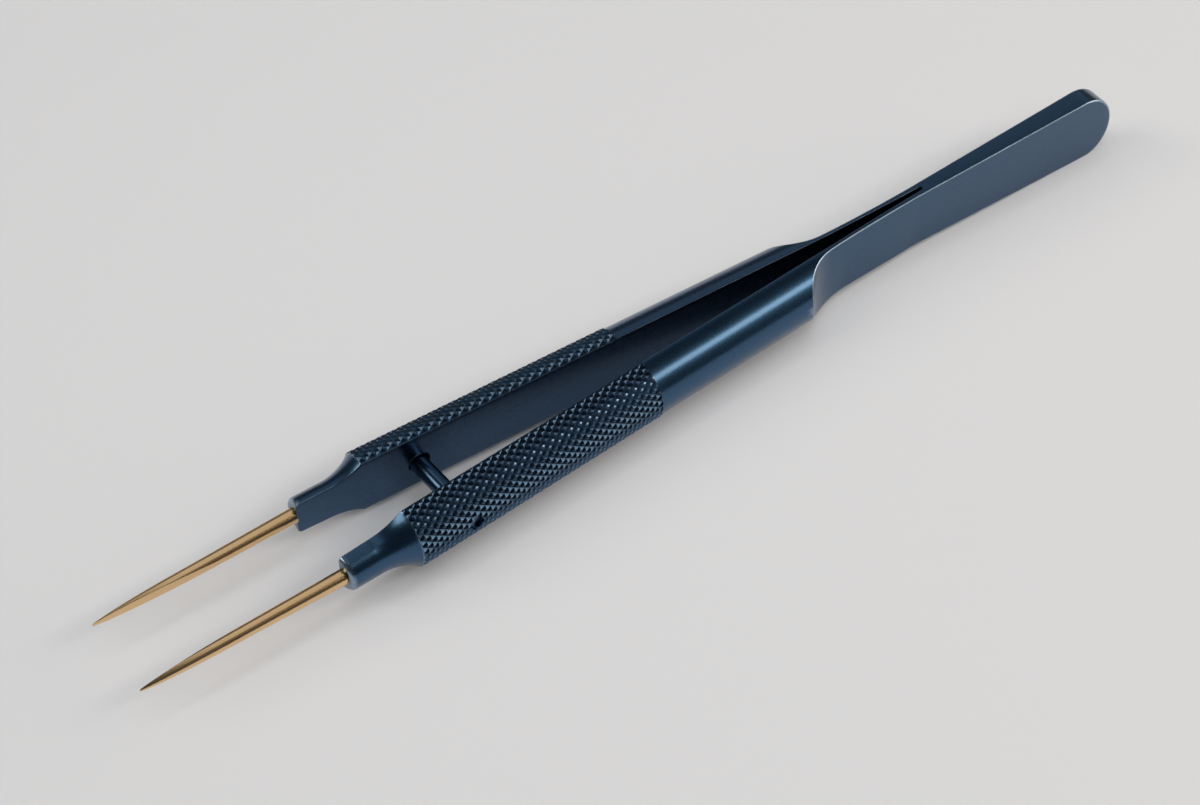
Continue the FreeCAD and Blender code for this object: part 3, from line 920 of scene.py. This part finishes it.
@dataclass
class TipRod(SubAssembly):
    """Slim rod with a tapered back, a long tying flat and a blunt end."""

    finish: ClassVar[MetalFinish] = GOLDEN

    grip: Grip
    above_flat: float = 0.6
    inset_deg: float = 3.2
    root_radius: float = 0.745
    mid_radius: float = 0.61
    mid_from_end: float = 10.0
    end_radius: float = 0.17
    end_rounding: float = 0.11
    past_axis: float = 0.06
    hinge_along: float = 6.0
    hinge_y: float = 0.6507
    clearance: float = 0.01
    spigot_radius: float = 0.45
    spigot_length: float = 6.056
    spigot_chamfer: float = 0.06
    bore_radius: float = 0.47
    bore_depth: float = 6.356
    edge: float = 0.03
    least_flat_angle: float = 0.12

    def frame(self) -> tuple[Array, Array, float]:
        """Root point and direction of the rod's axis in the slot frame, and its bare length."""
        lean = PLACING.splay - math.radians(self.inset_deg)
        root = PLACING.arm_to_slot(np.array(self.grip.nose_end), np.array(self.above_flat), np.array(0.0))
        direction = np.array([math.cos(lean), math.sin(lean), 0.0])
        length = (PLACING.tip_end - root[0]) / math.cos(lean)
        return root, direction, float(length)

    def radius_at(self, from_end: Array) -> Array:
        """Radius at each distance from the end: round end, swelling cubic curve, straight taper."""
        t = np.linspace(0.0, 1.0, 400)
        far, near = self.mid_from_end, self.end_rounding
        poles = np.array([[near, self.end_radius],
                          [near + 0.107 * far, self.end_radius + 0.31 * self.mid_radius],
                          [0.4 * far, 0.96 * self.mid_radius], [far, self.mid_radius]])
        weights = np.stack([(1 - t) ** 3, 3 * (1 - t) ** 2 * t, 3 * (1 - t) * t ** 2, t ** 3], axis=-1)
        curve = weights @ poles
        cap_s = near * np.linspace(0.0, 1.0, 40)[:-1]
        cap_r = self.end_radius - near + near * np.sqrt(1 - (1 - cap_s / near) ** 2)
        return np.interp(from_end, np.concatenate([cap_s, curve[:, 0], [self.frame()[2]]]),
                         np.concatenate([cap_r, curve[:, 1], [self.root_radius]]))

    def flat_distance(self, from_end: Array) -> Array:
        """Distance from the axis to the plane where the closed tips meet, negative past the axis."""
        root, direction, length = self.frame()
        end_y = (root + direction * length)[1] + self.past_axis
        along, across = PLACING.tip_end - self.hinge_along, end_y - self.hinge_y
        closing = math.atan2(across, along)
        closing += math.asin((self.hinge_y - self.clearance) / math.hypot(along, across))
        lean = math.atan2(direction[1], direction[0])
        return -self.past_axis + np.asarray(from_end) * math.tan(closing - lean)

    def sections(self, radius: Array, distance: Array) -> Array:
        """Circles cut by the tying flat, with a small bend at both of its edges.

        A chord at the given distance spans the angle half = arccos(distance /
        radius) on both sides. Where it would be too short, the arc closes.

        Args:
            radius: Radius of every station.
            distance: Distance of the tying flat from the axis.

        Returns:
            Array of shape stations, points, 2, as out and across from the axis.
        """
        half = np.arccos(np.clip(distance / radius, -0.98, 1.0))
        is_flat = half > self.least_flat_angle
        half = np.maximum(half, self.least_flat_angle)
        step = np.minimum(self.edge / radius, half * 0.3)
        start, end = (math.pi + half + step)[:, None], (3 * math.pi - half - step)[:, None]
        back = radius[:, None, None] * on_circle(between(start, end, np.linspace(0.0, 1.0, 61)[None, :]))
        low = radius[:, None] * on_circle(math.pi + half)
        high = low * np.array([1.0, -1.0])
        short = np.minimum(self.edge, 0.3 * np.linalg.norm(high - low, axis=-1))[:, None]
        line = (low - high) / np.linalg.norm(low - high, axis=-1, keepdims=True)
        share = np.linspace(0.0, 1.0, 14)[None, :]
        flat = between((high + line * short)[:, None], (low - line * short)[:, None], share[..., None])
        angles = between((math.pi - half + step)[:, None], (math.pi + half - step)[:, None], share)
        on_arc = radius[:, None, None] * on_circle(angles)
        face = np.where(is_flat[:, None, None], flat, on_arc)
        bend_high = corner_curve(back[:, -1], high, face[:, 0], 2)
        bend_low = corner_curve(face[:, -1], low, back[:, 0], 2)
        return np.concatenate([back, bend_high, face, bend_low], axis=1)

    def loops(self) -> Array:
        """Sections from the buried root to the end, carried along the rod's axis.

        Returns:
            Array of shape stations, points, 3.
        """
        root, direction, length = self.frame()
        chamfer = self.spigot_chamfer
        from_end = np.concatenate([
            length + np.array([self.spigot_length, self.spigot_length - chamfer, 0.0]),
            np.linspace(length, 1.0, 90)[:-1],
            np.linspace(1.0, self.end_rounding, 16)[:-1],
            self.end_rounding * (1 - np.sin(np.linspace(0.0, math.pi / 2, 9))),
        ])
        radius = self.radius_at(from_end)
        radius[:3] = self.spigot_radius - np.array([chamfer, 0.0, 0.0])
        shape = self.sections(radius, self.flat_distance(from_end))
        normal = np.array([-direction[1], direction[0], 0.0])
        centre = root + direction * (length - from_end)[:, None]
        return centre[:, None, :] + shape[..., :1] * normal + shape[..., 1:] * np.array([0.0, 0.0, 1.0])

    def bore(self, side: Side) -> Piece:
        """Round cutter for the blind hole that holds the rod's spigot in the nose."""
        root, direction = self.frame()[:2]
        angle = full_turn(48)[:, None]
        normal = np.array([-direction[1], direction[0], 0.0])
        ring = self.bore_radius * (np.cos(angle) * normal + np.sin(angle) * np.array([0.0, 0.0, 1.0]))
        ends = np.stack([root - direction * self.bore_depth + ring, root + direction + ring])
        return loft("bore_cutter", ends, side)

    def build(self, side: Side) -> Piece:
        """Mesh of one tip rod."""
        return loft(f"{side.label}_tip_rod", self.loops(), side, sharp_deg=40.0)


@dataclass
class Arm(SubAssembly):
    """One arm as a single closed mesh: leaf, shoulder, smooth bar, knurled grip and nose."""

    bar: SpringBar
    grip: Grip
    tip: TipRod
    sharp_deg: float = 28.0

    def build(self, side: Side) -> Piece:
        """Mesh of the arm with its pin hole and the bore for the tip rod.

        Args:
            side: Which arm.

        Returns:
            The finished piece.
        """
        leaf, leaf_wear_and_sheen = self.bar.loops()
        knurl, knurl_sheen_and_shade, knurl_split = self.grip.knurl_loops()
        nose, nose_wear_and_sheen = self.grip.nose_loops()
        loops = np.concatenate([leaf, knurl, nose])
        wear_and_painted_light = np.concatenate([leaf_wear_and_sheen, knurl_sheen_and_shade, nose_wear_and_sheen])
        split = np.full((len(loops) - 1, loops.shape[1]), -1)
        split[len(leaf):len(leaf) + len(knurl_split)] = knurl_split
        arm = loft(f"{side.label}_arm_body", loops, side, wear_and_painted_light, split, self.sharp_deg)
        cut_away(arm, self.grip.pin_hole(side), self.sharp_deg)
        cut_away(arm, self.tip.bore(side), self.sharp_deg)
        return arm


@dataclass
class Heel(SubAssembly):
    """Solid butt end: a tapered plate with a round end and softly rounded edges."""

    bar: SpringBar
    lower_round: float = 2.6
    apex_drop: float = 0.8
    end_edge: float = 0.14
    end_edge_from: float = 20.0
    seam_reach: float = 0.6

    def outline(self) -> tuple[Array, Array, Array]:
        """Closed outline of the plate, from the front's foot up, along the top, round the end and back.

        Each end quarter is part of an ellipse, and the top follows the width
        taper. The bottom runs straight from the end's lower round.

        Returns:
            Points as x and z, inward normals, and the size of the edge rounding.
        """
        bar, seam = self.bar, self.bar.back
        upper_x, lower_x = bar.upper_round - PLACING.heel_length, self.lower_round - PLACING.heel_length
        height = bar.half_width(upper_x)
        quarter = np.linspace(0.0, math.pi / 2, 41)
        front_height = bar.half_width(seam)
        front = np.stack([np.full(11, seam), np.linspace(-front_height, front_height, 13)[1:-1]], axis=-1)
        top_x = np.linspace(seam, upper_x, 31)
        top = np.stack([top_x, bar.half_width(top_x)], axis=-1)
        upper = np.stack([upper_x - bar.upper_round * np.sin(quarter),
                          -self.apex_drop + (height + self.apex_drop) * np.cos(quarter)], axis=-1)
        lower = np.stack([lower_x - self.lower_round * np.cos(quarter),
                          -self.apex_drop - (height - self.apex_drop) * np.sin(quarter)], axis=-1)
        low_x = np.linspace(lower_x, seam, 31)
        share = (low_x - lower_x) / (bar.upper_start - lower_x)
        bottom = np.stack([low_x, -height + (height - bar.bar_radius) * share], axis=-1)
        points = np.concatenate([front, top[:-1], upper, lower[1:], bottom[1:]])
        tangent = np.roll(points, -1, axis=0) - np.roll(points, 1, axis=0)
        tangent /= np.linalg.norm(tangent, axis=-1, keepdims=True)
        normal = np.stack([-tangent[:, 1], tangent[:, 0]], axis=-1)
        at_front = points[:, 0] > seam - 1e-6
        normal[at_front] = np.stack([np.zeros(at_front.sum()), -np.sign(points[at_front, 1])], axis=-1)
        size = bar.edge + self.end_edge * smooth_step(-points[:, 0], self.end_edge_from, PLACING.heel_length)
        near_corner = (np.abs(points[:, 1]) - front_height + self.seam_reach) / self.seam_reach
        reach = np.where(at_front, np.clip(near_corner, 0.0, 1.0), 1.0)
        return points, normal * reach[:, None], size

    def loops(self) -> tuple[Array, Array]:
        """Closed outlines from the middle of the near face, over the edge and side, to the far face.

        A loop is the outline moved inwards by an inset, at a depth below the
        tapering face. Round the edges the inset is size * (1 - t) squared and
        the depth size * t squared.

        Returns:
            Loops and their pale edges, partly scuffing and partly painted highlight.
        """
        points, normal, size = self.outline()
        t = np.linspace(0.0, 1.0, 7)[:, None]
        rims = points + normal * (size * (1 - t) ** 2)[..., None]
        half = self.bar.heel_half_thickness(rims[..., 0])
        rim = np.stack([rims[..., 0], half - size * t ** 2, rims[..., 1]], axis=-1)
        shrink = np.array([0.25, 0.6, 0.93])[:, None]
        middle_x = (self.bar.back - PLACING.heel_length) / 2
        inner_x = middle_x + (rims[0, :, 0] - middle_x) * shrink
        inner = np.stack([inner_x, self.bar.heel_half_thickness(inner_x), rims[0, :, 1] * shrink], axis=-1)
        near = np.concatenate([inner, rim])
        far = near[::-1] * np.array([1.0, -1.0, 1.0])
        # Pale edges round the rims, partly scuffing and partly painted highlight.
        light_and_wear_values = np.concatenate([np.zeros(4), np.ones(5), [0.0]])
        wear_and_painted_light = np.concatenate([light_and_wear_values, light_and_wear_values[::-1]])[:, None] * np.ones(len(points))
        middle = (near[-1:] + far[:1]) / 2
        return np.concatenate([near, middle, far]), np.insert(wear_and_painted_light, len(near), 0.0, axis=0)

    def build(self) -> Piece:
        """Mesh of the heel."""
        loops, wear_and_painted_light = self.loops()
        return loft("heel_plate", loops, wear_and_painted_light=wear_and_painted_light, sharp_deg=30.0)


@dataclass
class GuidePin(SubAssembly):
    """Stepped pin: spigot in the near arm, shank across the gap, rounded free end."""

    finish: ClassVar[MetalFinish] = TURNED

    grip: Grip
    shank_radius: float = 0.915
    shank_length: float = 6.14
    rounding: float = 0.35
    spigot_chamfer: float = 0.06
    shoulder_chamfer: float = 0.03

    def build(self) -> Piece:
        """Turned mesh of the pin: its profile's radii carried round the pin's axis."""
        top, spigot = self.grip.spigot_height(), self.grip.spigot_radius
        corner = np.linspace(0.0, math.pi / 2, 9)
        end_out = -self.shank_length + self.rounding * (1 - np.sin(corner))
        end_radius = self.shank_radius - self.rounding + self.rounding * np.cos(corner)
        out = np.concatenate([[top, top, top - self.spigot_chamfer, 0.0, 0.0, -self.shoulder_chamfer],
                              np.linspace(-0.1, end_out[0], 10)[:-1], end_out, [-self.shank_length]])
        radius = np.concatenate([[0.4, spigot - self.spigot_chamfer, spigot, spigot,
                                  self.shank_radius - self.shoulder_chamfer, self.shank_radius],
                                 np.full(9, self.shank_radius), end_radius, [0.2]])
        rings = PLACING.rings(self.grip.pin_at, -self.grip.pin_drop, out, radius, radius)
        return loft("guide_pin_turned", rings, sharp_deg=40.0)


@dataclass(frozen=True)
class Lamp:
    """Area lamp seen from the instrument in a given direction, its long side along X.

    The distance and the two sides are in metres, radiance is the brightness of
    the lamp's face, and in_metal says whether the metal shows its reflection.
    """

    name: str
    toward: Place
    distance: float
    size: tuple[float, float]
    radiance: float
    colour: Place = (1.0, 1.0, 1.0)
    in_metal: bool = True

    def build(self) -> None:
        """Make the lamp, turned to face the instrument."""
        data = bpy.data.lights.new(self.name, "AREA")
        data.shape = "RECTANGLE"
        data.size, data.size_y = self.size
        data.energy = self.radiance * math.pi * self.size[0] * self.size[1]
        data.color = self.colour
        lamp = bpy.data.objects.new(self.name, data)
        lamp.visible_camera = False
        lamp.visible_glossy = self.in_metal
        z = Vector(self.toward).normalized()
        x = (Vector((1, 0, 0)) - z * z.x).normalized()
        turn = Matrix((x, z.cross(x), z)).transposed().to_4x4()
        lamp.matrix_world = Matrix.Translation(z * self.distance) @ turn
        bpy.context.scene.collection.objects.link(lamp)


WARM = (1.0, 0.86, 0.72)
LAMPS = (
    Lamp("key_strip", (-0.592, 0.478, 0.649), 0.878, (0.54, 0.22), 6.0, WARM),
    Lamp("side_box", (-0.88, 0.24, 0.31), 0.7, (0.55, 0.60), 2.8, WARM),
    Lamp("back_panel", (-0.35, -0.65, 0.66), 0.9, (1.3, 0.55), 0.30),
    Lamp("front_light", (0.68, -0.36, 0.64), 0.8, (0.28, 0.55), 4.5, WARM),
    Lamp("tip_card", (0.085, -0.10, 0.99), 0.142, (0.042, 0.16), 0.6),
    Lamp("top_fill", (0.0, 0.25, 1.0), 1.0, (1.2, 1.2), 1.6, in_metal=False),
)


@dataclass(frozen=True)
class Studio:
    """Pale floor, soft lamps and the camera at the photograph's viewing angle."""

    camera_at: Place = (128.796, 119.221, 178.951)
    right: Place = (-0.8068905, 0.5905825, 0.0118339)
    up: Place = (-0.4494243, -0.6267858, 0.6365197)
    back: Place = (0.3833348, 0.5082832, 0.7711696)
    focal_pixels: float = 2510.75
    width_pixels: int = 1200
    sensor_width: float = 36.0
    floor_half: float = 3.0
    floor_colour: Place = (0.58, 0.61, 0.65)
    air_colour: Place = (0.8, 0.9, 1.0)
    air_strength: float = 0.07

    def camera(self) -> None:
        """Camera with the fitted place, turn and lens."""
        data = bpy.data.cameras.new("camera")
        data.sensor_width = self.sensor_width
        data.lens = self.focal_pixels / self.width_pixels * self.sensor_width
        data.clip_start = 0.01
        data.clip_end = 20.0
        camera = bpy.data.objects.new("camera", data)
        turn = Matrix((self.right, self.up, self.back)).transposed().to_4x4()
        place = PLACING.to_row(np.array(self.camera_at))
        camera.matrix_world = Matrix.Translation(Vector(place)) @ turn
        bpy.context.scene.collection.objects.link(camera)
        bpy.context.scene.camera = camera

    def floor(self) -> None:
        """Plain pale floor under the instrument."""
        mesh = bpy.data.meshes.new("floor")
        far = self.floor_half
        mesh.from_pydata([(-far, -far, 0), (far, -far, 0), (far, far, 0), (-far, far, 0)], [], [(0, 1, 2, 3)])
        floor = bpy.data.objects.new("floor", mesh)
        bpy.context.scene.collection.objects.link(floor)
        material = bpy.data.materials.new("pale_floor")
        material.use_nodes = True
        shader = material.node_tree.nodes["Principled BSDF"]
        NodeTools.fill(shader, {"Base Color": (*self.floor_colour, 1.0), "Roughness": 0.8})
        mesh.materials.append(material)

    def world(self) -> None:
        """Dim even light from all round."""
        world = bpy.data.worlds.new("studio")
        world.use_nodes = True
        background = world.node_tree.nodes["Background"]
        NodeTools.fill(background, {"Color": (*self.air_colour, 1.0), "Strength": self.air_strength})
        bpy.context.scene.world = world

    def build(self) -> None:
        """Set up the camera, floor, world and lamps."""
        bpy.context.scene.view_settings.view_transform = "Standard"
        self.camera()
        self.floor()
        self.world()
        for lamp in LAMPS:
            lamp.build()


class Forceps:
    """The whole instrument: builds its parts, has them dressed and ties them to the moving bodies."""

    def __init__(self) -> None:
        """Size the parts, and make the shared node groups and the materials."""
        self.bar = SpringBar()
        self.grip = Grip(self.bar)
        self.tip = TipRod(self.grip)
        marks = MetalMarks()
        satin, edges = marks.satin(), marks.edges()
        self.materials = {finish.name: finish.make(satin, edges) for finish in (ANODISED, GOLDEN, TURNED)}

    def build(self) -> None:
        """Build every piece, dress it and tie it to its body."""
        heel, pin, arm = Heel(self.bar), GuidePin(self.grip), Arm(self.bar, self.grip, self.tip)
        self.place(heel, heel.build(), "heel", "heel")
        for side in Side:
            body = arm.build(side)
            arm.dress(body, self.materials)
            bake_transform(body)
            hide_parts(f"{side.label}_arm")
            self.place(self.tip, self.tip.build(side), side.body, f"{side.label}_tip")
        self.place(pin, pin.build(), Side.NEAR.body, "guide_pin")

    def place(self, part: SubAssembly, piece: Piece, body: str, node: str) -> None:
        """Dress a rigid piece, tie it to its body and let it stand in for a node."""
        part.dress(piece, self.materials)
        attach(piece, body)
        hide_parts(node)

    @staticmethod
    def blend_point(along: float) -> tuple[float, ...]:
        """Point on the mirror plane at a distance from the slot's end, in row metres."""
        return tuple(PLACING.to_row(np.array([along, 0.0, 0.0])))


def main() -> None:
    """Load the frame, and build the studio and the forceps."""
    logging.basicConfig(level=logging.INFO, format="%(message)s")
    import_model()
    Studio().build()
    Forceps().build()


if __name__ == "__main__":
    main()
